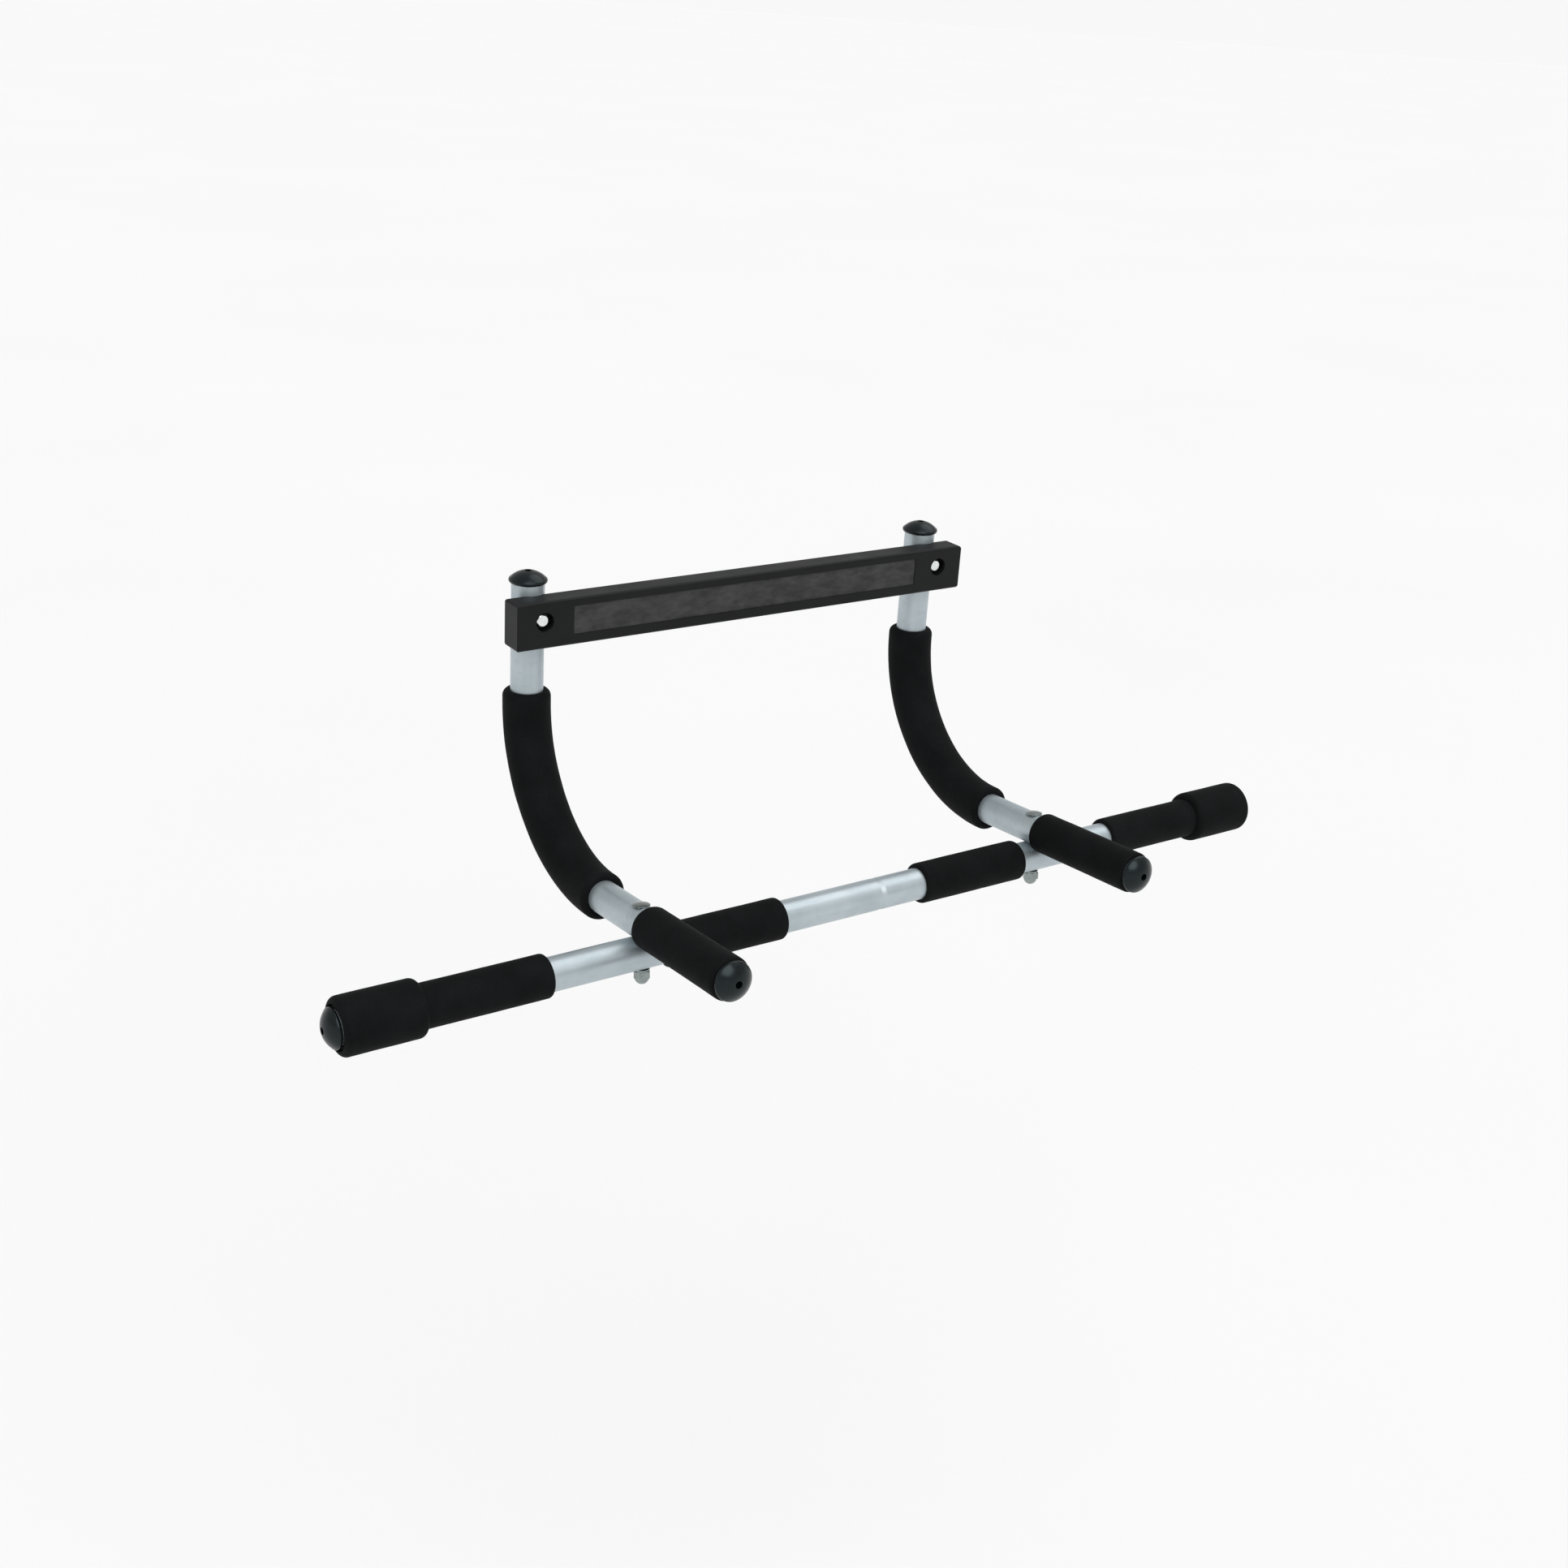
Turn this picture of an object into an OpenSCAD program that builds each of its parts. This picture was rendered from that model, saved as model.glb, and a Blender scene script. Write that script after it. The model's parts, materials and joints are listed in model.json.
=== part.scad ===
// Doorway pull up bar of the lever type.
// The trim bar rests on top of the door casing behind the wall, two J-shaped arms pass under the
// doorway's head, and the wide pads on the main bar press on the casing in front.
// Millimetres. The origin is the middle of the trim bar's underside.
// +X runs along the main bar, -Y points towards the handles, +Z points up.

/* [Tubes] */
// outside diameter of every steel tube
tube_d = 28; // [27.6:0.1:28.2]
// wall thickness of the tubes
tube_wall = 1.5; // [1.2:0.1:2]
// half of the main bar's tube length
bar_half_length = 464.6; // [464:0.2:480]
// distance of the joint between the bar's halves from the middle
seam_x = 26; // [20:1:60]
// length of the reduced end that slides into the other half
spigot_length = 60; // [40:1:80]
// distance of each arm from the middle
arm_x = 205.4; // [203:0.1:208]

/* [Arms] */
// distance between tube centre lines where an arm crosses the main bar
cross_gap = 26.4; // [26:0.1:27]
// how steeply the arm's lower run rises towards the handle, in degrees
arm_rise = 4.6; // [3:0.1:6]
// bend radius on the tube's centre line
bend_r = 126; // [120:1:130]
// distance from the main bar's axis back to the upright tube's axis
arm_reach = 202.9; // [200:0.1:208]
// height of the upright tube's top above the main bar's axis
arm_height = 250.4; // [248:0.1:256]
// length of the handle's tube in front of the crossing bolt
handle_length = 132.8; // [130.8:2:134.8]

/* [Trim bar] */
// length of the bar that rests on the door casing
trim_length = 462.6; // [455:0.2:480]
// its height
trim_height = 40.8; // [40:0.2:42]
// its depth from the wall side to its rear
trim_depth = 22.4; // [22:0.2:24]
// height of its underside above the main bar's axis
trim_rise = 201.5; // [200:0.1:203]
// depth of the round notches that the uprights sit in
notch_depth = 4.8; // [4:0.1:5]
// corner rounding of the moulding
trim_corner_r = 2.8; // [1:0.1:3]
// length of the wall strip
strip_length = 356.8; // [340:0.2:370]
// height of the wall strip
strip_height = 24.6; // [20:0.2:27]
// height of the strip's middle above the moulding's middle
strip_rise = 1.3; // [0:0.1:1.4]
// how far the strip's face sits below the moulding's front
strip_recess = 0.8; // [0.4:0.1:1.2]
// thickness of the wall strip
strip_thick = 2; // [1.5:0.1:3]
// height of the trim bolts above the moulding's middle
trim_bolt_rise = 2.8; // [0:0.1:3]
// diameter of the recess round each bolt head
recess_d = 16.4; // [16.4:0.1:18]

/* [Foam] */
// outside diameter of the thin grips
grip_d = 35.8; // [34:0.1:38]
// outside diameter of the pads that press on the casing
pad_d = 46.6; // [46:0.1:52]
// outside diameter of the sleeves round the arm bends
arm_foam_d = 41; // [40:0.1:46]
// edge rounding at the ends of the foam
foam_edge_r = 3; // [1:0.1:3]
// edge rounding at the ends of the casing pads
pad_edge_r = 5; // [2:0.1:5]
// edge rounding at the top of the arm foam
arm_foam_edge_r = 5; // [2:0.1:5]
// gap between a foam sleeve and what it sleeves
foam_gap = 0.15; // [0.1:0.01:0.2]
// where an inner grip starts, from the middle
inner_grip_start = 73; // [65:1:90]
// where an inner grip ends
inner_grip_end = 185; // [170:1:186]
// where an outer grip starts, from the middle
outer_grip_start = 291; // [280:1:310]
// where an outer grip ends, under the casing pad
outer_grip_end = 463.4; // [455:0.1:463.4]
// where a casing pad starts, from the middle
pad_start = 398; // [390:1:410]
// where a casing pad ends
pad_end = 465; // [455:0.1:466]
// where a handle grip starts, in front of the crossing bolt
handle_grip_start = 13.5; // [12:0.1:20]
// where a handle grip ends
handle_grip_end = 131.2; // [120:0.1:131.2]
// where the arm foam starts, behind the crossing bolt
arm_foam_start = 61; // [45:0.5:61]
// height of the arm foam's top above the main bar's axis
arm_foam_top = 156.2; // [154:0.2:180]

/* [End caps] */
// diameter of an end cap's rim
cap_d = 32.6; // [31:0.1:34]
// thickness of the rim
cap_rim = 4.4; // [4:0.1:4.6]
// height of a cap above the tube's end
cap_height = 10.4; // [9.6:0.1:11]
// length of the plug inside the tube
cap_plug = 14; // [10:1:20]
// diameter of the hole in a cap's middle
cap_hole_d = 6; // [4:0.1:7]

/* [Fasteners] */
// thread diameter of the crossing bolts
crossing_bolt_d = 8; // [7.8:0.1:8]
// thread pitch of the crossing bolts
crossing_pitch = 1.25; // [1:0.25:1.5]
// width across flats of the crossing bolts' nuts
crossing_flats = 13; // [12.6:0.1:13.2]
// thread diameter of the trim bolts
trim_bolt_d = 6; // [5.8:0.1:6]
// thread pitch of the trim bolts
trim_pitch = 1; // [0.75:0.25:1]
// width across flats of the trim bolts' heads and nuts
trim_flats = 10; // [9.8:0.1:10.2]
// how much wider a bolt's clearance hole is than the bolt
hole_play = 0.6; // [0.4:0.1:0.8]
// length of the crossing bolts under the head
crossing_bolt_length = 65; // [64:0.5:65]
// length of the trim bolts under the head
trim_bolt_length = 45; // [44:0.5:46]
// thickness of the lock washers under the main bar
lock_washer_thick = 1.6; // [1.4:0.1:2]
// thickness of the curved washers behind the uprights
arc_washer_thick = 1.4; // [1.2:0.1:1.6]
// height of a crossing cap nut
crossing_nut_height = 12; // [12:0.1:13]
// height of a trim cap nut
trim_nut_height = 9.2; // [9:0.1:10]

/* [Hidden] */
$fn = 96;

// Sides of the object, as signs along X.
left = -1;
right = 1;

// Radii, and the small gaps between separate pieces.
tube_r = tube_d / 2;
bore_r = tube_r - tube_wall;
cut = 1;
fit_gap = 0.05;
part_gap = 0.1;

// Where the main bar's axis lies: the uprights sit in the notches of the trim bar's rear face.
trim_front_y = -trim_depth / 2;
trim_rear_y = trim_depth / 2;
upright_y = trim_rear_y - notch_depth + tube_r;
bar_y = upright_y - arm_reach;
bar_z = -trim_rise;

// The arm's run behind the crossing bolt, its bend and its upright.
bend_angle = 90 + arm_rise;
run_back = (arm_reach - bend_r - (cross_gap + bend_r) * sin(arm_rise)) / cos(arm_rise);
bend_centre_z = (cross_gap + bend_r) * cos(arm_rise) - run_back * sin(arm_rise);
mark_height = 0.4;
mark_depth = 0.03;
bore_overlap = 0.3;
bore_step = 0.02;

// The halves of the main bar: the reduced end, and the dimple that each arm sits in.
spigot_r = bore_r - fit_gap;
spigot_bore_r = spigot_r - tube_wall;
shoulder_gap = 0.3;
shoulder_length = 4.5;
shoulder_step = 0.8;
swage_length = 3.5;
dimple_r = tube_r + fit_gap;

// Insides of the trim bar.
trim_bolt_z = trim_height / 2 + trim_bolt_rise;
core_depth = 5;
core_height = 32;
core_length = trim_length - 14;
core_cover = 2;
core_rear_y = trim_rear_y - notch_depth - core_cover;
core_front_y = core_rear_y - core_depth;
core_z = (trim_height - core_height) / 2;
bolt_seat_y = core_front_y - 2.4;
strip_z = (trim_height - strip_height) / 2 + strip_rise;
pocket_count = 9;
pocket_pitch = 38;
pocket_length = 35.6;
pocket_depth = 5;
pocket_border = 4;

// End caps: the dome starts a little inside the rim's rounding, and barbs hold the plug.
cap_dome_start = 0.85 * cap_rim;
cap_dome_inset = 0.8;
plug_gap = 0.4;
barb_gap = 0.2;
barb_length = 2;
barb_depths = [5, 9];

// Bolts, washers and nuts.
crossing_bolt_r = crossing_bolt_d / 2;
trim_bolt_r = trim_bolt_d / 2;
crossing_hole_d = crossing_bolt_d + hole_play;
trim_hole_d = trim_bolt_d + hole_play;
thread_depth = 0.5;
thread_length = 20;
hex_chamfer = 0.9;
hex_head_height = 4;
round_head_d = 14.5;
round_head_rim = 0.4;
round_head_height = 1.5;
neck_width = 8;
neck_depth = 3;
neck_hole_width = 8.3;
lock_washer_d = 12.8;
lock_washer_slit = 0.8;
lock_washer_slant = 35;
lock_washer_turn = 200;
arc_washer_d = 16;

// The frame of one arm's crossing: the origin lies on the main bar's axis, Y runs back along the
// arm's lower run and Z runs up along the crossing bolt.
module crossing_frame(side) {
    translate([side * arm_x, bar_y, bar_z]) rotate([-arm_rise, 0, 0]) children();
}

// The frame of one trim bolt: Z runs along the bolt, to the rear.
module trim_bolt_frame(side) {
    translate([side * arm_x, 0, trim_bolt_z]) rotate([-90, 0, 0]) children();
}

// The frame of one side of the main bar: Z runs outwards along its axis.
module bar_frame(side) {
    translate([0, bar_y, bar_z]) rotate([0, side * 90, 0]) children();
}

// A plain ring that stands on the XY plane.
module ring(outer_r, inner_r, height) {
    difference() {
        cylinder(r = outer_r, h = height);
        translate([0, 0, -cut]) cylinder(r = inner_r, h = height + 2 * cut);
    }
}

// A rectangle with round corners, about its own centre.
module rounded_rectangle(width, height, corner_r) {
    square([width, height - 2 * corner_r], center = true);
    square([width - 2 * corner_r, height], center = true);
    for (x = [-1, 1], y = [-1, 1])
        translate([x * (width / 2 - corner_r), y * (height / 2 - corner_r)])
            circle(r = corner_r);
}

// Part of a dome: a sphere's cap with the given rim radius and height, standing on the XY plane.
module dome(rim_r, height) {
    sphere_r = (rim_r * rim_r + height * height) / (2 * height);
    intersection() {
        translate([0, 0, height - sphere_r]) sphere(r = sphere_r);
        cylinder(r = rim_r, h = height + cut);
    }
}

// ---- Tubes ----

// The frame at the bend's upper end: Z runs up along the upright.
module upright_frame() {
    translate([0, run_back, cross_gap + bend_r]) rotate([arm_rise, 0, 0])
        translate([0, bend_r, 0]) children();
}

// The bent stretch of an arm's path, as a solid rod, in the crossing frame.
module bend_rod(radius) {
    translate([0, run_back, cross_gap + bend_r]) rotate([0, 90, 0])
        rotate_extrude(angle = bend_angle) translate([bend_r, 0]) circle(r = radius);
}

// An arm's J-shaped path as a solid rod: from front_length ahead of the crossing bolt to
// end_height above the main bar's axis.
module arm_rod(radius, front_length, end_height) {
    translate([0, -front_length, cross_gap]) rotate([-90, 0, 0])
        cylinder(r = radius, h = front_length + run_back);
    bend_rod(radius);
    upright_frame() {
        bend_mark(radius);
        translate([0, 0, mark_height / 4])
            cylinder(r = radius, h = end_height - bend_centre_z - mark_height / 4);
    }
}

// The faint ring that the bending tool leaves where the bend runs out into the upright.
module bend_mark(radius) {
    translate([0, 0, -mark_height / 2]) cylinder(r = radius + mark_depth, h = mark_height);
}

// The space inside an arm's tube, in the crossing frame. The upright's bore is a hair narrower
// than the bend's, as a tube's is where the bending mandrel stops.
module arm_bore() {
    translate([0, -handle_length - cut, cross_gap]) rotate([-90, 0, 0])
        cylinder(r = bore_r, h = handle_length + cut + run_back);
    upright_frame() translate([0, 0, -bore_overlap])
        cylinder(r = bore_r - bore_step, h = arm_height + cut - bend_centre_z);
    bend_rod(bore_r);
}

module arm(side) {
    trim_bolt_height = trim_rise + trim_bolt_z - bend_centre_z;
    color("#b9c3c9") crossing_frame(side) difference() {
        arm_rod(tube_r, handle_length, arm_height);
        arm_bore();
        // round hole for the crossing bolt, and the square one above it that stops it turning
        cylinder(d = crossing_hole_d, h = cross_gap);
        translate([-neck_hole_width / 2, -neck_hole_width / 2, cross_gap])
            cube([neck_hole_width, neck_hole_width, tube_d]);
        upright_frame() translate([0, -tube_d, trim_bolt_height]) rotate([-90, 0, 0])
            cylinder(d = trim_hole_d, h = 2 * tube_d);
    }
}

// Cuts the arm's shape and the bolt's hole out of half a bar, and adds the pressed-in wall.
module with_dimple(side) {
    difference() {
        union() {
            difference() {
                children();
                crossing_frame(side) translate([0, -tube_d, cross_gap]) rotate([-90, 0, 0])
                    cylinder(r = dimple_r, h = 2 * tube_d);
            }
            intersection() {
                bar_frame(side) cylinder(r = tube_r, h = bar_half_length);
                crossing_frame(side) translate([0, -tube_d, cross_gap]) rotate([-90, 0, 0])
                    ring(dimple_r + tube_wall, dimple_r, 2 * tube_d);
            }
        }
        crossing_frame(side) translate([0, 0, -tube_d])
            cylinder(d = crossing_hole_d, h = 2 * tube_d);
    }
}

module bar_half_left() {
    color("#bcc6cc") with_dimple(left) bar_frame(left)
        translate([0, 0, -seam_x]) ring(tube_r, bore_r, bar_half_length + seam_x);
}

module bar_half_right() {
    tube_start = seam_x + shoulder_gap;
    color("#bcc6cc") with_dimple(right) bar_frame(right) rotate_extrude() polygon([
        [spigot_bore_r, seam_x - spigot_length],
        [spigot_r, seam_x - spigot_length],
        [spigot_r, tube_start],
        [tube_r - shoulder_step, tube_start],
        [tube_r, tube_start + shoulder_length],
        [tube_r, bar_half_length],
        [bore_r, bar_half_length],
        [bore_r, tube_start + swage_length],
        [spigot_bore_r, tube_start]
    ]);
}

// ---- End caps ----

// A domed cap on a tube's end, which lies in the XY plane; its hollow plug reaches down inside.
module end_cap() {
    plug_r = bore_r - plug_gap;
    rim_edge_r = cap_rim / 2;
    color("#2c3136") difference() {
        union() {
            rotate_extrude() {
                square([cap_d / 2 - rim_edge_r, cap_rim]);
                translate([cap_d / 2 - rim_edge_r, rim_edge_r]) circle(r = rim_edge_r);
            }
            translate([0, 0, cap_dome_start])
                dome(cap_d / 2 - cap_dome_inset, cap_height - cap_dome_start);
            translate([0, 0, -cap_plug]) cylinder(r = plug_r, h = cap_plug + cut);
            for (depth = barb_depths) translate([0, 0, -depth])
                cylinder(r1 = plug_r, r2 = bore_r - barb_gap, h = barb_length);
        }
        translate([0, 0, -cap_plug - cut]) cylinder(r = plug_r - tube_wall, h = cap_plug + cut);
        translate([0, 0, -cap_plug]) cylinder(d = cap_hole_d, h = cap_plug + cap_height + cut);
    }
}

module bar_end_cap(side) {
    bar_frame(side) translate([0, 0, bar_half_length]) end_cap();
}

module arm_top_cap(side) {
    translate([side * arm_x, upright_y, bar_z + arm_height]) end_cap();
}

module handle_cap(side) {
    crossing_frame(side) translate([0, -handle_length, cross_gap]) rotate([90, 0, 0]) end_cap();
}

// ---- Foam ----

// A foam sleeve from start to end along Z, with rounded outer edges.
module foam_sleeve(outer_r, inner_r, start, end, edge_r) {
    length = end - start;
    color("#17191b") translate([0, 0, start]) rotate_extrude() intersection() {
        translate([inner_r, 0]) square([outer_r - inner_r, length]);
        union() {
            square([outer_r - edge_r, length]);
            translate([0, edge_r]) square([outer_r, length - 2 * edge_r]);
            for (z = [edge_r, length - edge_r])
                translate([outer_r - edge_r, z]) circle(r = edge_r);
        }
    }
}

// A solid end of a foam sleeve: it stands on the XY plane, and only its upper edge is rounded.
module foam_end(outer_r, length, edge_r) {
    cylinder(r = outer_r, h = length - edge_r);
    rotate_extrude() {
        square([outer_r - edge_r, length]);
        translate([outer_r - edge_r, length - edge_r]) intersection() {
            circle(r = edge_r);
            square(edge_r);
        }
    }
}

module inner_grip(side) {
    bar_frame(side)
        foam_sleeve(grip_d / 2, tube_r + foam_gap, inner_grip_start, inner_grip_end, foam_edge_r);
}

module outer_grip(side) {
    bar_frame(side)
        foam_sleeve(grip_d / 2, tube_r + foam_gap, outer_grip_start, outer_grip_end, foam_edge_r);
}

module casing_pad(side) {
    bar_frame(side)
        foam_sleeve(pad_d / 2, grip_d / 2 + foam_gap, pad_start, pad_end, pad_edge_r);
}

module handle_grip(side) {
    crossing_frame(side) translate([0, 0, cross_gap]) rotate([90, 0, 0]) foam_sleeve(
        grip_d / 2, tube_r + foam_gap, handle_grip_start, handle_grip_end, foam_edge_r
    );
}

module arm_foam(side) {
    outer_r = arm_foam_d / 2;
    color("#17191b") crossing_frame(side) difference() {
        union() {
            translate([0, run_back, cross_gap]) rotate([90, 0, 0])
                foam_end(outer_r, run_back - arm_foam_start, foam_edge_r);
            bend_rod(outer_r);
            upright_frame() {
                bend_mark(outer_r);
                translate([0, 0, mark_height / 4])
                    foam_end(outer_r, arm_foam_top - bend_centre_z, arm_foam_edge_r);
            }
        }
        arm_rod(tube_r + foam_gap, -arm_foam_start + cut, arm_foam_top + cut);
    }
}

// ---- Trim bar ----

// The moulding's outer shape, with all its long edges and its corners rounded.
module trim_block() {
    intersection() {
        translate([-trim_length / 2, 0, trim_height / 2]) rotate([0, 90, 0])
            linear_extrude(trim_length)
                rounded_rectangle(trim_height, trim_depth, trim_corner_r);
        translate([0, trim_rear_y + cut, trim_height / 2]) rotate([90, 0, 0])
            linear_extrude(trim_depth + 2 * cut)
                rounded_rectangle(trim_length, trim_height, trim_corner_r);
    }
}

module trim_bar_moulding() {
    strip_space = strip_thick + strip_recess;
    color("#1d1f21") difference() {
        trim_block();
        // space for the steel core that the moulding is formed round
        translate([-core_length / 2 - part_gap, core_front_y - part_gap, core_z - part_gap])
            cube([core_length + 2 * part_gap, core_depth + 2 * part_gap,
                core_height + 2 * part_gap]);
        // shallow recess for the wall strip
        translate([-strip_length / 2 - part_gap, trim_front_y - cut, strip_z - part_gap])
            cube([strip_length + 2 * part_gap, strip_space + cut, strip_height + 2 * part_gap]);
        for (side = [left, right]) {
            translate([side * arm_x, upright_y, -cut])
                cylinder(r = tube_r + fit_gap, h = trim_height + 2 * cut);
            trim_bolt_frame(side) {
                translate([0, 0, trim_front_y - cut])
                    cylinder(d = recess_d, h = bolt_seat_y - trim_front_y + cut);
                translate([0, 0, bolt_seat_y - cut]) cylinder(d = trim_hole_d, h = trim_depth);
            }
        }
        // ribbed rear: a row of pockets between the uprights
        for (i = [0 : pocket_count - 1])
            translate([(i - (pocket_count - 1) / 2) * pocket_pitch - pocket_length / 2,
                trim_rear_y - pocket_depth, pocket_border])
                cube([pocket_length, pocket_depth + cut, trim_height - 2 * pocket_border]);
    }
}

module trim_bar_core() {
    color("#8d9499") difference() {
        translate([-core_length / 2, core_front_y, core_z])
            cube([core_length, core_depth, core_height]);
        for (side = [left, right])
            trim_bolt_frame(side) translate([0, 0, core_front_y - cut])
                cylinder(d = trim_hole_d, h = core_depth + 2 * cut);
    }
}

module trim_wall_strip() {
    color("#3a3a3a") translate([-strip_length / 2, trim_front_y + strip_recess, strip_z])
        cube([strip_length, strip_thick - part_gap, strip_height]);
}

// ---- Fasteners ----

// A bolt's shank from the XY plane down to -length, with ring-shaped thread ridges near its tip.
module shank(radius, pitch, length) {
    ridges = floor(thread_length / pitch);
    thread_top = -length + ridges * pitch;
    rotate_extrude() polygon(concat(
        [[0, 0], [radius, 0], [radius, thread_top]],
        [for (i = [0 : ridges - 1], half = [1, 2])
            [half == 1 ? radius - thread_depth : radius, thread_top - (i + half / 2) * pitch]],
        [[0, -length]]
    ));
}

// A hexagonal prism with its upper corners rounded off by a cone.
module hexagon(flats, height) {
    corner_d = flats / cos(30);
    intersection() {
        cylinder(d = corner_d, h = height, $fn = 6);
        union() {
            cylinder(d = corner_d + cut, h = height - hex_chamfer);
            translate([0, 0, height - hex_chamfer])
                cylinder(d1 = corner_d + cut, d2 = flats - cut, h = hex_chamfer);
        }
    }
}

// A low domed bolt with a square neck, under the head along -Z.
module round_head_bolt(length) {
    color("#d5d8da") {
        cylinder(d = round_head_d, h = round_head_rim);
        translate([0, 0, round_head_rim])
            dome(round_head_d / 2, round_head_height - round_head_rim);
        translate([-neck_width / 2, -neck_width / 2, -neck_depth])
            cube([neck_width, neck_width, neck_depth + fit_gap]);
        shank(crossing_bolt_r, crossing_pitch, length);
    }
}

module hex_head_bolt(length) {
    color("#d5d8da") {
        hexagon(trim_flats, hex_head_height);
        shank(trim_bolt_r, trim_pitch, length);
    }
}

// A cap nut that stands on its seat, opened from below.
module cap_nut(thread_r, flats, height) {
    dome_r = 0.47 * flats;
    color("#dcdfe1") difference() {
        union() {
            hexagon(flats, 0.53 * height);
            intersection() {
                translate([0, 0, height - dome_r]) sphere(r = dome_r);
                translate([0, 0, cut]) cylinder(r = dome_r + cut, h = height);
            }
        }
        translate([0, 0, -cut]) cylinder(r = thread_r + fit_gap, h = 0.8 * height + cut);
    }
}

module crossing_bolt(side) {
    crossing_frame(side) translate([0, 0, cross_gap + tube_r + fit_gap])
        round_head_bolt(crossing_bolt_length);
}

// A split spring washer, drawn flat as when it is clamped.
module crossing_lock_washer(side) {
    color("#c9cdd0") crossing_frame(side)
        translate([0, 0, -tube_r - fit_gap - lock_washer_thick]) difference() {
            ring(lock_washer_d / 2, crossing_bolt_r + part_gap, lock_washer_thick);
            rotate([0, 0, lock_washer_turn]) translate([0, 0, lock_washer_thick / 2])
                rotate([lock_washer_slant, 0, 0])
                    translate([0, -lock_washer_slit / 2, -lock_washer_thick * 2])
                        cube([lock_washer_d, lock_washer_slit, lock_washer_thick * 4]);
        }
}

module crossing_cap_nut(side) {
    crossing_frame(side) translate([0, 0, -tube_r - 2 * fit_gap - lock_washer_thick])
        rotate([180, 0, 0]) cap_nut(crossing_bolt_r, crossing_flats, crossing_nut_height);
}

module trim_bolt(side) {
    trim_bolt_frame(side) translate([0, 0, bolt_seat_y - fit_gap])
        rotate([180, 0, 0]) hex_head_bolt(trim_bolt_length);
}

// A washer bent to the upright's curve.
module trim_arc_washer(side) {
    color("#c9cdd0") intersection() {
        translate([side * arm_x, upright_y, 0])
            ring(tube_r + fit_gap + arc_washer_thick, tube_r + fit_gap, trim_height + tube_d);
        trim_bolt_frame(side) translate([0, 0, upright_y])
            ring(arc_washer_d / 2, trim_bolt_r + part_gap, tube_d);
    }
}

module trim_cap_nut(side) {
    trim_bolt_frame(side) translate([0, 0, upright_y + tube_r + 2 * fit_gap + arc_washer_thick])
        cap_nut(trim_bolt_r, trim_flats, trim_nut_height);
}

bar_half_left();
bar_half_right();
bar_end_cap(left);  // bar_end_cap_left
bar_end_cap(right);  // bar_end_cap_right
arm(left);  // arm_left
arm(right);  // arm_right
arm_top_cap(left);  // arm_top_cap_left
arm_top_cap(right);  // arm_top_cap_right
handle_cap(left);  // handle_cap_left
handle_cap(right);  // handle_cap_right
handle_grip(left);  // handle_grip_left
handle_grip(right);  // handle_grip_right
inner_grip(left);  // inner_grip_left
inner_grip(right);  // inner_grip_right
outer_grip(left);  // outer_grip_left
outer_grip(right);  // outer_grip_right
casing_pad(left);  // casing_pad_left
casing_pad(right);  // casing_pad_right
arm_foam(left);  // arm_foam_left
arm_foam(right);  // arm_foam_right
trim_bar_moulding();
trim_bar_core();
trim_wall_strip();
crossing_bolt(left);  // crossing_bolt_left
crossing_bolt(right);  // crossing_bolt_right
crossing_lock_washer(left);  // crossing_lock_washer_left
crossing_lock_washer(right);  // crossing_lock_washer_right
crossing_cap_nut(left);  // crossing_cap_nut_left
crossing_cap_nut(right);  // crossing_cap_nut_right
trim_bolt(left);  // trim_bolt_left
trim_bolt(right);  // trim_bolt_right
trim_arc_washer(left);  // trim_arc_washer_left
trim_arc_washer(right);  // trim_arc_washer_right
trim_cap_nut(left);  // trim_cap_nut_left
trim_cap_nut(right);  // trim_cap_nut_right
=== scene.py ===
import json
import math

import bpy
from mathutils import Matrix, Vector, noise


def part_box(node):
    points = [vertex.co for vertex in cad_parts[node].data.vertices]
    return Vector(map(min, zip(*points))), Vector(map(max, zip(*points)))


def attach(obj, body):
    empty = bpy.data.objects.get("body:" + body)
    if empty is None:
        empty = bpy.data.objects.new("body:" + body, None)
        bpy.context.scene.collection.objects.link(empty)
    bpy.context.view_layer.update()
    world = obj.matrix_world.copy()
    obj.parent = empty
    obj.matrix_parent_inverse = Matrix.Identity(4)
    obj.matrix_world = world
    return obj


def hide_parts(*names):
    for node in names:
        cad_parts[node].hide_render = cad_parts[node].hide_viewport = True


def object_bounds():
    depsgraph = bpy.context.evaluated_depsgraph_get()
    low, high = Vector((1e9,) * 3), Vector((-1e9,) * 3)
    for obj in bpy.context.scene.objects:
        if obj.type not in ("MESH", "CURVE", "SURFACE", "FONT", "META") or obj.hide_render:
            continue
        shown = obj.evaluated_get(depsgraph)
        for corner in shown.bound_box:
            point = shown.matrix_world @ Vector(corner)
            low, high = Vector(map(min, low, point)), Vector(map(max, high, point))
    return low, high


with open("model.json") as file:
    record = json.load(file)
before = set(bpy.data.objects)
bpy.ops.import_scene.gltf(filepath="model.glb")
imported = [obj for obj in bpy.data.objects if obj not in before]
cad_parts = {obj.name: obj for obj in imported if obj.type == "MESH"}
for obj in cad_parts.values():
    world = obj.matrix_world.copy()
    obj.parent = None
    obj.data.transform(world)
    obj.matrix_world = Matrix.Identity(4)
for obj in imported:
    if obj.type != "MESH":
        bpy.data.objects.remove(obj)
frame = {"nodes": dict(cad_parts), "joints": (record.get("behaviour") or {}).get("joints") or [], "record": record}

cad_low, cad_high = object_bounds()

# ---- Dimensions, in metres ----

SIDES = ("left", "right")

# The CAD's own sizes.
BEND_RADIUS = 0.126
FOAM_START = 0.061
HANDLE_GRIP_LENGTH = 0.1177
GRIP_RADIUS = 0.0179

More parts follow.
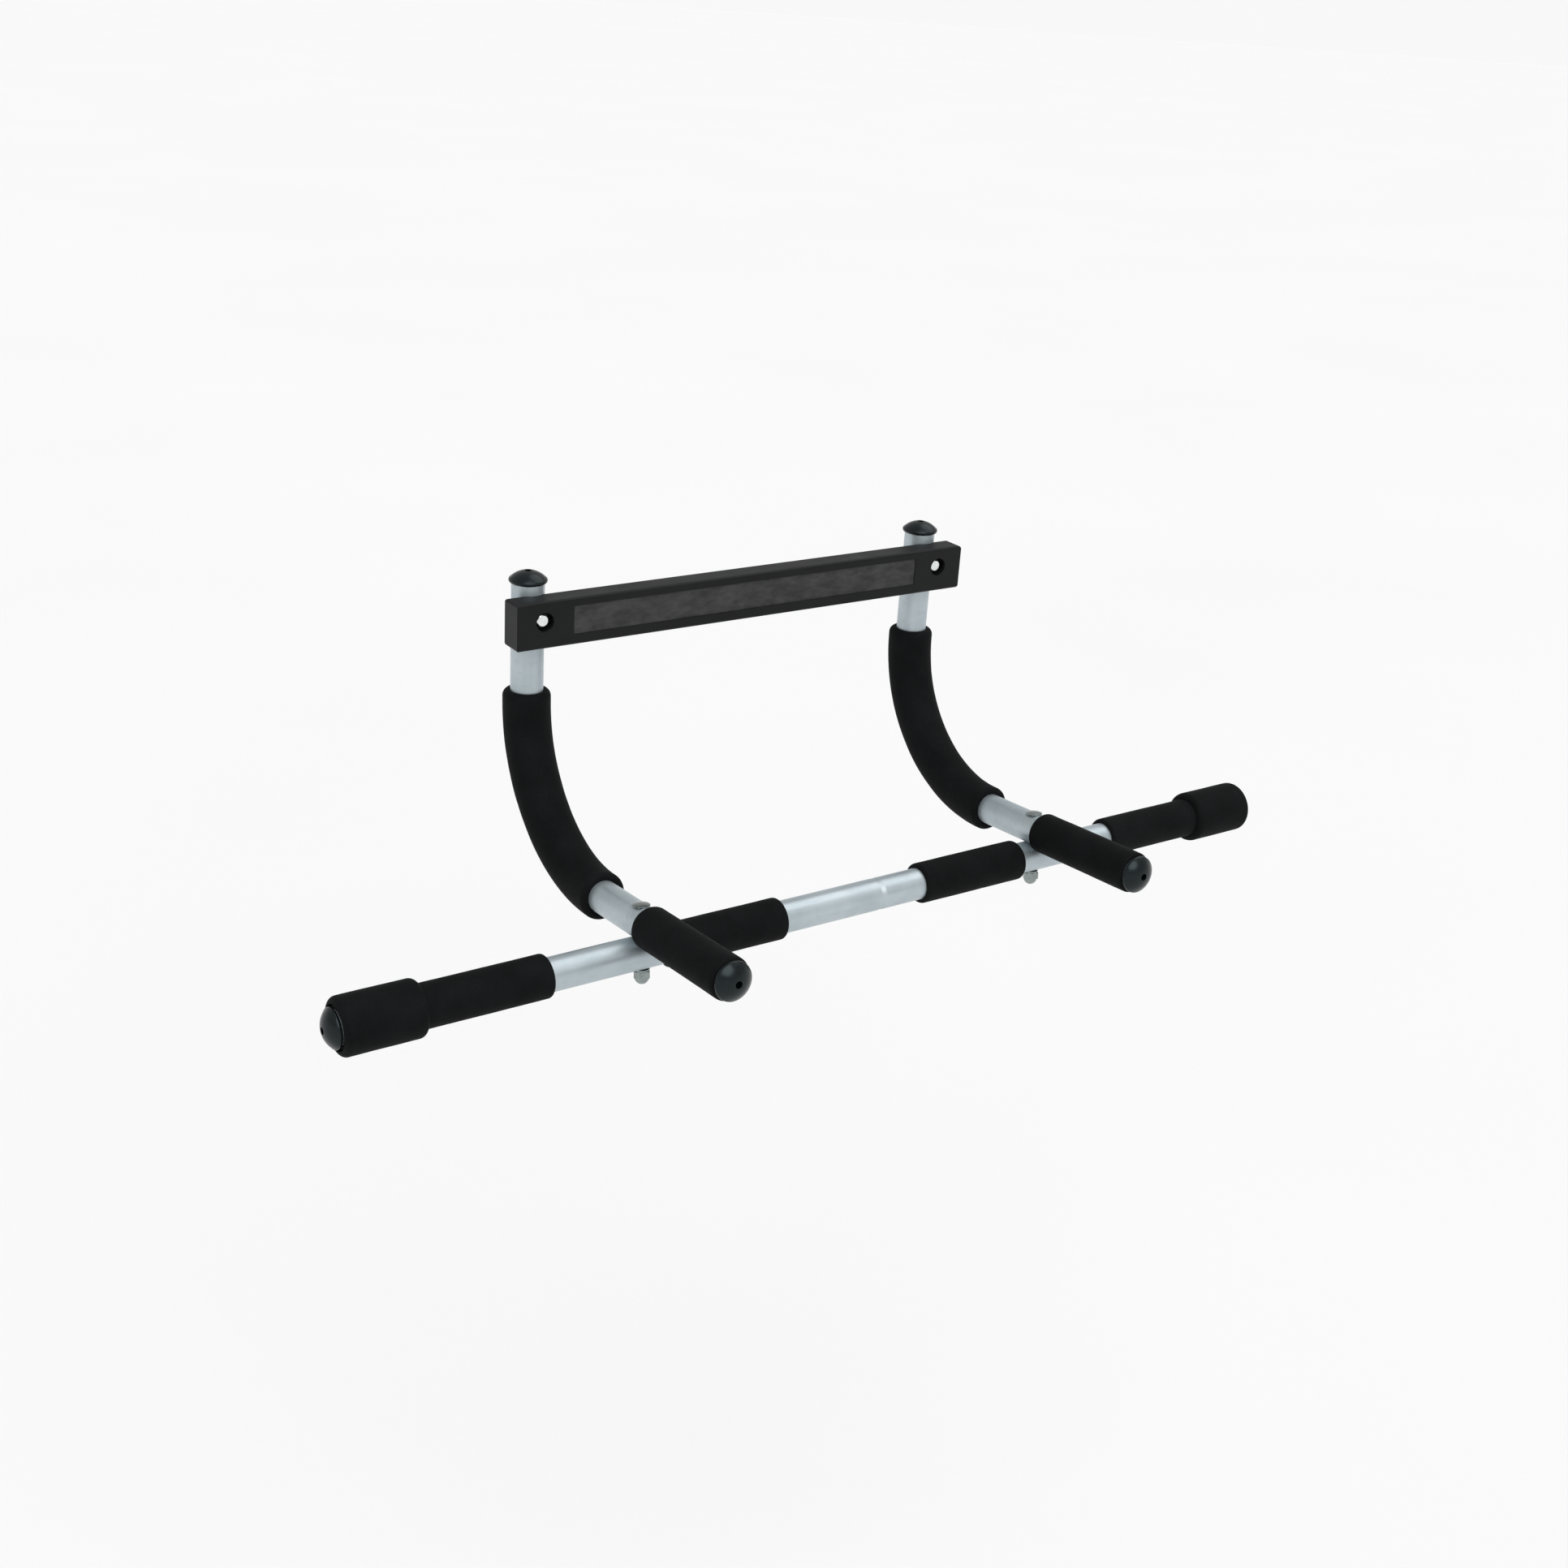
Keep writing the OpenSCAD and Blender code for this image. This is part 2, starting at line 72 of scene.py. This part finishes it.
# Sizes of the visible foam: its ends are a little rounder and its bore a little tighter than the
# CAD's, and the handle foam runs past both ends of its CAD node.
FOAM_EDGE = 0.0032
PAD_EDGE = 0.0054
ARM_TOP_EDGE = 0.0056
FOAM_BORE = 0.0141
PAD_PLAY = 0.0003
HANDLE_FOAM_OVERRUN = 0.0007


# ---- Camera ----

CAMERA_PLACE = Vector((-0.9488, -1.4027, 0.5477))
CAMERA_AZIMUTH = math.radians(-35.56)
CAMERA_ELEVATION = math.radians(22.68)
CAMERA_ROLL = math.radians(3.83)
CAMERA_LENS = 45.96
SENSOR = 36.0
CLIP_END = 60.0


def make_camera():
    data = bpy.data.cameras.new("camera")
    data.lens = CAMERA_LENS
    data.sensor_width = SENSOR
    data.clip_end = CLIP_END
    camera = bpy.data.objects.new("camera", data)
    bpy.context.scene.collection.objects.link(camera)
    az, el = CAMERA_AZIMUTH, CAMERA_ELEVATION
    back = Vector((math.sin(az) * math.cos(el), -math.cos(az) * math.cos(el), math.sin(el)))
    right = Vector((math.cos(az), math.sin(az), 0.0))
    up = back.cross(right)
    turned_right = math.cos(CAMERA_ROLL) * right + math.sin(CAMERA_ROLL) * up
    turned_up = -math.sin(CAMERA_ROLL) * right + math.cos(CAMERA_ROLL) * up
    turn = Matrix((turned_right, turned_up, back)).transposed()
    camera.matrix_world = Matrix.Translation(CAMERA_PLACE) @ turn.to_4x4()
    bpy.context.scene.camera = camera


make_camera()


# ---- Node helpers ----

# The colour sockets of a Mix node, which share their names with its other sockets.
MIX_FACTOR = 0
MIX_COLOURS = (6, 7)
MIX_RESULT = 2


def new_material(name):
    material = bpy.data.materials.new(name)
    material.use_nodes = True
    tree = material.node_tree
    return material, tree, tree.nodes["Principled BSDF"]


def add_node(tree, kind, inputs=None, **settings):
    node = tree.nodes.new(kind)
    for key, value in settings.items():
        setattr(node, key, value)
    for key, value in (inputs or {}).items():
        if isinstance(value, bpy.types.NodeSocket):
            tree.links.new(value, node.inputs[key])
        else:
            node.inputs[key].default_value = value
    return node


def object_coordinates(tree, scale=(1.0, 1.0, 1.0)):
    coordinates = add_node(tree, "ShaderNodeTexCoord")
    mapping = add_node(tree, "ShaderNodeMapping", {"Vector": coordinates.outputs["Object"]})
    mapping.inputs["Scale"].default_value = scale
    return mapping.outputs["Vector"]


def noise_value(tree, vector, scale, detail=3.0, roughness=0.55):
    node = add_node(
        tree, "ShaderNodeTexNoise",
        {"Vector": vector, "Scale": scale, "Detail": detail, "Roughness": roughness},
    )
    return node.outputs["Fac"]


def remap(tree, value, low, high, to_low, to_high):
    node = add_node(
        tree, "ShaderNodeMapRange",
        {"Value": value, "From Min": low, "From Max": high, "To Min": to_low, "To Max": to_high},
    )
    return node.outputs["Result"]


def mix_colours(tree, factor, first, second):
    node = add_node(tree, "ShaderNodeMix", data_type="RGBA")
    tree.links.new(factor, node.inputs[MIX_FACTOR])
    for index, value in zip(MIX_COLOURS, (first, second)):
        if isinstance(value, bpy.types.NodeSocket):
            tree.links.new(value, node.inputs[index])
        else:
            node.inputs[index].default_value = (*value, 1.0)
    return node.outputs[MIX_RESULT]


def bump(tree, height, strength, distance, normal=None):
    node = add_node(
        tree, "ShaderNodeBump",
        {"Height": height, "Strength": strength, "Distance": distance},
    )
    if normal is not None:
        tree.links.new(normal, node.inputs["Normal"])
    return node.outputs["Normal"]


# ---- Materials ----

def enamel_material():
    """Silver enamel on steel tube: fine metal flake, faint cloudiness and rub marks."""
    material, tree, surface = new_material("silver_enamel")
    place = object_coordinates(tree)
    clouds = noise_value(tree, place, 28.0, 4.0)
    flake = noise_value(tree, place, 4200.0, 2.0)
    rubs = noise_value(tree, object_coordinates(tree, (40.0, 260.0, 260.0)), 1.0, 4.0)
    colour = mix_colours(
        tree, remap(tree, clouds, 0.35, 0.65, 0.0, 1.0),
        (0.400, 0.462, 0.490), (0.470, 0.532, 0.560)
    )
    colour = mix_colours(
        tree, remap(tree, rubs, 0.56, 0.78, 0.0, 0.5), colour, (0.350, 0.400, 0.420)
    )
    tree.links.new(colour, surface.inputs["Base Color"])
    surface.inputs["Metallic"].default_value = 0.72
    rough = remap(tree, rubs, 0.3, 0.7, 0.36, 0.46)
    tree.links.new(rough, surface.inputs["Roughness"])
    tree.links.new(bump(tree, flake, 0.07, 0.00003), surface.inputs["Normal"])
    return material


def foam_material():
    """Closed-cell foam: matt, near black, with fine pores and paler scuffed patches."""
    material, tree, surface = new_material("black_foam")
    place = object_coordinates(tree)
    cells = add_node(
        tree, "ShaderNodeTexVoronoi", {"Vector": place, "Scale": 1500.0}, feature="F1"
    ).outputs["Distance"]
    grain = noise_value(tree, place, 900.0, 4.0)
    patches = noise_value(tree, place, 38.0, 3.0)
    colour = mix_colours(
        tree, remap(tree, patches, 0.35, 0.7, 0.0, 1.0),
        (0.0024, 0.0027, 0.0030), (0.0046, 0.0051, 0.0055)
    )
    tree.links.new(colour, surface.inputs["Base Color"])
    tree.links.new(remap(tree, grain, 0.3, 0.7, 0.70, 0.86), surface.inputs["Roughness"])
    surface.inputs["Specular IOR Level"].default_value = 0.09
    normal = bump(tree, cells, 0.26, 0.0002)
    normal = bump(tree, grain, 0.22, 0.0003, normal)
    tree.links.new(normal, surface.inputs["Normal"])
    return material


def moulding_material():
    """Black moulded plastic with a fine eroded grain that is a little polished in places."""
    material, tree, surface = new_material("black_moulding")
    place = object_coordinates(tree)
    grain = noise_value(tree, place, 2600.0, 3.0)
    patches = noise_value(tree, place, 22.0, 3.0)
    colour = mix_colours(
        tree, remap(tree, patches, 0.3, 0.7, 0.0, 1.0),
        (0.0038, 0.0041, 0.0044), (0.0066, 0.0071, 0.0075)
    )
    tree.links.new(colour, surface.inputs["Base Color"])
    tree.links.new(remap(tree, patches, 0.3, 0.7, 0.40, 0.52), surface.inputs["Roughness"])
    surface.inputs["Specular IOR Level"].default_value = 0.17
    tree.links.new(bump(tree, grain, 0.22, 0.00007), surface.inputs["Normal"])
    return material


def strip_material():
    """Dark grey rubber strip with a cloudy, rubbed surface."""
    material, tree, surface = new_material("grey_strip")
    place = object_coordinates(tree)
    clouds = noise_value(tree, object_coordinates(tree, (1.0, 1.0, 2.2)), 60.0, 6.0, 0.65)
    grain = noise_value(tree, place, 1900.0, 3.0)
    colour = mix_colours(
        tree, remap(tree, clouds, 0.36, 0.66, 0.0, 1.0),
        (0.022, 0.022, 0.023), (0.048, 0.048, 0.049)
    )
    tree.links.new(colour, surface.inputs["Base Color"])
    tree.links.new(remap(tree, clouds, 0.3, 0.7, 0.6, 0.8), surface.inputs["Roughness"])
    surface.inputs["Specular IOR Level"].default_value = 0.22
    tree.links.new(bump(tree, grain, 0.3, 0.00012), surface.inputs["Normal"])
    return material


def cap_material():
    """Glossy injection-moulded cap, with very faint orange peel and scuffs."""
    material, tree, surface = new_material("glossy_cap")
    place = object_coordinates(tree)
    peel = noise_value(tree, place, 300.0, 2.0)
    scuffs = noise_value(tree, object_coordinates(tree, (300.0, 1400.0, 700.0)), 1.0, 4.0)
    colour = mix_colours(
        tree, remap(tree, scuffs, 0.3, 0.7, 0.0, 1.0),
        (0.0020, 0.0032, 0.0038), (0.0036, 0.0052, 0.0060)
    )
    tree.links.new(colour, surface.inputs["Base Color"])
    tree.links.new(remap(tree, scuffs, 0.35, 0.7, 0.22, 0.31), surface.inputs["Roughness"])
    surface.inputs["Specular IOR Level"].default_value = 0.29
    surface.inputs["Specular Tint"].default_value = (0.80, 0.96, 1.0, 1.0)
    tree.links.new(bump(tree, peel, 0.03, 0.00008), surface.inputs["Normal"])
    return material


def zinc_material(name, colour_low, colour_high, rough_low, rough_high):
    """Plated or bare steel for fasteners and the core: cloudy plating and fine turning marks."""
    material, tree, surface = new_material(name)
    place = object_coordinates(tree)
    clouds = noise_value(tree, place, 260.0, 4.0)
    marks = noise_value(tree, place, 3800.0, 2.0)
    colour = mix_colours(
        tree, remap(tree, clouds, 0.3, 0.7, 0.0, 1.0), colour_low, colour_high
    )
    tree.links.new(colour, surface.inputs["Base Color"])
    surface.inputs["Metallic"].default_value = 1.0
    tree.links.new(
        remap(tree, clouds, 0.3, 0.7, rough_low, rough_high), surface.inputs["Roughness"]
    )
    tree.links.new(bump(tree, marks, 0.12, 0.00005), surface.inputs["Normal"])
    return material


MATERIALS = {
    "painted_tube": enamel_material(),
    "black_foam": foam_material(),
    "trim_plastic": moulding_material(),
    "strip_rubber": strip_material(),
    "end_cap_plastic": cap_material(),
    "core_steel": zinc_material("core_steel", (0.30, 0.31, 0.33), (0.42, 0.43, 0.45), 0.35, 0.5),
    # This zinc is painted darker than bright plating: painted shade for the dark surroundings that plated steel
    # reflects.
    "bright_zinc": zinc_material(
        "bright_zinc", (0.22, 0.25, 0.25), (0.32, 0.36, 0.35), 0.20, 0.30
    ),
    # A lighter copy of the same zinc: a painted highlight for the trim bolts' heads in their recesses.
    "painted_highlight_zinc": zinc_material(
        "painted_highlight_zinc", (0.70, 0.73, 0.73), (0.84, 0.87, 0.86), 0.16, 0.26
    ),
}

# The trim bolts' heads take a lighter copy of the zinc, a painted highlight for heads that sit in shaded recesses;
# the darker zinc of the other fasteners is painted shade.
PAINTED_HIGHLIGHT_NODES = {"trim_bolt_" + side: "painted_highlight_zinc" for side in SIDES}

for row in frame["record"]["subparts"]:
    look = PAINTED_HIGHLIGHT_NODES.get(row["node"], row["material_slot"])
    data = frame["nodes"][row["node"]].data
    data.materials.clear()
    data.materials.append(MATERIALS[look])


# ---- Foam sleeves ----

RING_POINTS = 72
LONG_STEP = 0.0025
BORE_STEP = 0.006
EDGE_STEPS = 7
LIP = 0.0006
LIP_SHARE = 0.3

# The skin's unevenness: how far it stands out and how closely it varies.
WAVE_HEIGHT, WAVE_SCALE = 0.00016, 34.0
DENT_HEIGHT, DENT_SCALE = 0.00007, 150.0

# Where in the noise each kind of sleeve starts, so that no two look alike.
INNER_GRIP_SEED = 1.3
OUTER_GRIP_SEED = 4.7
CASING_PAD_SEED = 8.1
HANDLE_GRIP_SEED = 11.9
ARM_FOAM_SEED = 15.2


def straight_path(start, direction, across):
    """Centre and cross directions of a straight sleeve at a distance along it."""
    other = direction.cross(across)

    def at(distance):
        return start + direction * distance, across, other
    return at


def sleeve_profile(length, outer, inner, edge, far_edge):
    """The sleeve's closed cross-section as (distance, radius, share of the surface's unevenness)."""
    turns = [math.pi / 2 * i / EDGE_STEPS for i in range(EDGE_STEPS + 1)]
    points = [(edge * (1 - math.cos(a)), outer - edge * (1 - math.sin(a)), 1.0) for a in turns]
    long_span = length - edge - far_edge
    steps = max(2, round(long_span / LONG_STEP))
    points += [(edge + long_span * i / steps, outer, 1.0) for i in range(1, steps)]
    points += [(length - far_edge * (1 - math.cos(a)), outer - far_edge * (1 - math.sin(a)), 1.0)
               for a in reversed(turns)]
    points += [(length, inner + LIP, LIP_SHARE), (length - LIP, inner, 0.0)]
    bore_steps = max(2, round(length / BORE_STEP))
    points += [(length - LIP - (length - 2 * LIP) * i / bore_steps, inner, 0.0)
               for i in range(1, bore_steps)]
    points += [(LIP, inner, 0.0), (0.0, inner + LIP, LIP_SHARE)]
    return points


def unevenness(point, seed):
    """How far the foam's skin stands out at a point: long soft waves and small dents."""
    shifted = point + Vector((seed, -seed, 2 * seed))
    waves = WAVE_HEIGHT * noise.noise(shifted * WAVE_SCALE)
    return waves + DENT_HEIGHT * noise.noise(shifted * DENT_SCALE)


def foam_sleeve(node, path, length, radii, edges, seed):
    """One sleeve along a path, in place of its CAD node; radii are the outer and the inner."""
    name = "foam_" + node
    vertices, faces = [], []
    profile = sleeve_profile(length, *radii, *edges)
    for distance, radius, share in profile:
        centre, across, other = path(distance)
        for i in range(RING_POINTS):
            angle = 2 * math.pi * i / RING_POINTS
            outward = math.cos(angle) * across + math.sin(angle) * other
            point = centre + outward * radius
            vertices.append(point + outward * (share * unevenness(point, seed)))
    count = len(profile)
    for ring in range(count):
        following = (ring + 1) % count
        for i in range(RING_POINTS):
            j = (i + 1) % RING_POINTS
            faces.append((
                ring * RING_POINTS + i, ring * RING_POINTS + j,
                following * RING_POINTS + j, following * RING_POINTS + i,
            ))
    mesh = bpy.data.meshes.new(name)
    mesh.from_pydata(vertices, [], faces)
    mesh.polygons.foreach_set("use_smooth", [True] * len(faces))
    mesh.update()
    mesh.materials.append(MATERIALS["black_foam"])
    piece = bpy.data.objects.new(name, mesh)
    bpy.context.scene.collection.objects.link(piece)
    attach(piece, "frame")
    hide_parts(node)


def bar_sleeve(node, inner, edge, seed):
    """A straight sleeve on the main bar, as long and as thick as its CAD node."""
    low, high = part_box(node)
    start = Vector((low.x, (low.y + high.y) / 2, (low.z + high.z) / 2))
    path = straight_path(start, Vector((1, 0, 0)), Vector((0, 1, 0)))
    radii = ((high.z - low.z) / 2, inner)
    foam_sleeve(node, path, high.x - low.x, radii, (edge, edge), seed)


def crossing_axes(side):
    """A point on the main bar's axis under the arm, the arm's direction to the rear, and up."""
    joint = next(j for j in frame["joints"] if j["name"] == "crossing_nut_turn_" + side)
    up = -Vector(joint["axis"]).normalized()
    return Vector(joint["pos_m"]), up.cross(Vector((1, 0, 0))), up


def handle_sleeve(side, seed):
    """The grip on a handle, centred on its CAD node."""
    node = "handle_grip_" + side
    low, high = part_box(node)
    _, rearward, _ = crossing_axes(side)
    length = HANDLE_GRIP_LENGTH + 2 * HANDLE_FOAM_OVERRUN
    start = (low + high) / 2 + rearward * (length / 2)
    path = straight_path(start, -rearward, Vector((1, 0, 0)))
    radii = ((high.x - low.x) / 2, FOAM_BORE)
    foam_sleeve(node, path, length, radii, (FOAM_EDGE, FOAM_EDGE), seed)


def arm_sleeve(side, seed):
    """The thick foam on an arm: along the lower run, round the bend and up the upright."""
    node = "arm_foam_" + side
    low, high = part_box(node)
    across = Vector((1, 0, 0))
    bolt, rearward, up = crossing_axes(side)
    grip_low, grip_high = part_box("handle_grip_" + side)
    on_run = (grip_low + grip_high) / 2
    rise = (on_run - bolt).dot(up)
    foot = bolt + up * rise
    cap_low, cap_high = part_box("arm_top_cap_" + side)
    upright_y = (cap_low.y + cap_high.y) / 2
    above = foot + up * BEND_RADIUS
    run_back = (upright_y - BEND_RADIUS - above.y) / rearward.y
    centre = above + rearward * run_back
    straight = run_back - FOAM_START
    turn = math.pi / 2 + math.asin(-rearward.z)
    arc = BEND_RADIUS * turn
    top = high.z - centre.z
    length = straight + arc + top

    def at(distance):
        if distance < straight:
            return foot + rearward * (FOAM_START + distance), across, rearward.cross(across)
        if distance < straight + arc:
            angle = (distance - straight) / BEND_RADIUS
            outward = -math.cos(angle) * up + math.sin(angle) * rearward
            along = math.sin(angle) * up + math.cos(angle) * rearward
            return centre + outward * BEND_RADIUS, across, along.cross(across)
        height = distance - straight - arc
        point = Vector((centre.x, upright_y, centre.z + height))
        return point, across, Vector((0, 0, 1)).cross(across)

    radii = ((high.x - low.x) / 2, FOAM_BORE)
    foam_sleeve(node, at, length, radii, (FOAM_EDGE, ARM_TOP_EDGE), seed)


for number, side in enumerate(SIDES):
    bar_sleeve("inner_grip_" + side, FOAM_BORE, FOAM_EDGE, INNER_GRIP_SEED + number)
    bar_sleeve("outer_grip_" + side, FOAM_BORE, FOAM_EDGE, OUTER_GRIP_SEED + number)
    bar_sleeve("casing_pad_" + side, GRIP_RADIUS + PAD_PLAY, PAD_EDGE, CASING_PAD_SEED + number)
    handle_sleeve(side, HANDLE_GRIP_SEED + number)
    arm_sleeve(side, ARM_FOAM_SEED + number)


# ---- Studio ----

FLOOR_DROP = 1.1
FLOOR_SIZE = 240.0

# How bright the sky is at the horizon and above, and the heights between which it changes.
HORIZON_STRENGTH = 0.94
SKY_STRENGTH = 0.58
HORIZON_HEIGHT = 0.03
SKY_HEIGHT = 0.22

# Each wide sun: where it stands, how strong it is and how wide it looks.
SUNS = {
    "key": (Vector((-0.25, -0.85, 1.05)), 1.80, math.radians(50.0)),
    "band": (Vector((0.54, 0.02, 0.84)), 0.62, math.radians(44.0)),
}


def make_floor():
    mesh = bpy.data.meshes.new("floor")
    half = FLOOR_SIZE / 2
    z = cad_low.z - FLOOR_DROP
    mesh.from_pydata(
        [(-half, -half, z), (half, -half, z), (half, half, z), (-half, half, z)],
        [], [(0, 1, 2, 3)],
    )
    material, tree, surface = new_material("studio_floor")
    clouds = noise_value(tree, object_coordinates(tree), 0.6, 2.0)
    colour = mix_colours(tree, clouds, (0.795, 0.795, 0.795), (0.815, 0.815, 0.815))
    tree.links.new(colour, surface.inputs["Base Color"])
    surface.inputs["Roughness"].default_value = 0.9
    surface.inputs["Specular IOR Level"].default_value = 0.05
    mesh.materials.append(material)
    floor = bpy.data.objects.new("floor", mesh)
    bpy.context.scene.collection.objects.link(floor)


def make_sun(name, towards, strength, width):
    data = bpy.data.lights.new(name, "SUN")
    data.energy = strength
    data.angle = width
    light = bpy.data.objects.new(name, data)
    light.rotation_mode = "QUATERNION"
    light.rotation_quaternion = (-towards).to_track_quat("-Z", "Y")
    bpy.context.scene.collection.objects.link(light)


def make_world():
    """A dim sky with a bright horizon, which keeps the edge of the floor faint."""
    world = bpy.data.worlds.new("studio")
    world.use_nodes = True
    tree = world.node_tree
    background = tree.nodes["Background"]
    background.inputs["Color"].default_value = (1.0, 1.0, 1.0, 1.0)
    coordinates = add_node(tree, "ShaderNodeTexCoord")
    height = add_node(tree, "ShaderNodeSeparateXYZ", {"Vector": coordinates.outputs["Generated"]})
    strength = remap(
        tree, height.outputs["Z"], HORIZON_HEIGHT, SKY_HEIGHT, HORIZON_STRENGTH, SKY_STRENGTH
    )
    tree.links.new(strength, background.inputs["Strength"])
    bpy.context.scene.world = world


def make_studio():
    make_world()
    for name, (towards, strength, width) in SUNS.items():
        make_sun(name, towards, strength, width)
    make_floor()
    bpy.context.scene.view_settings.view_transform = "Standard"


make_studio()
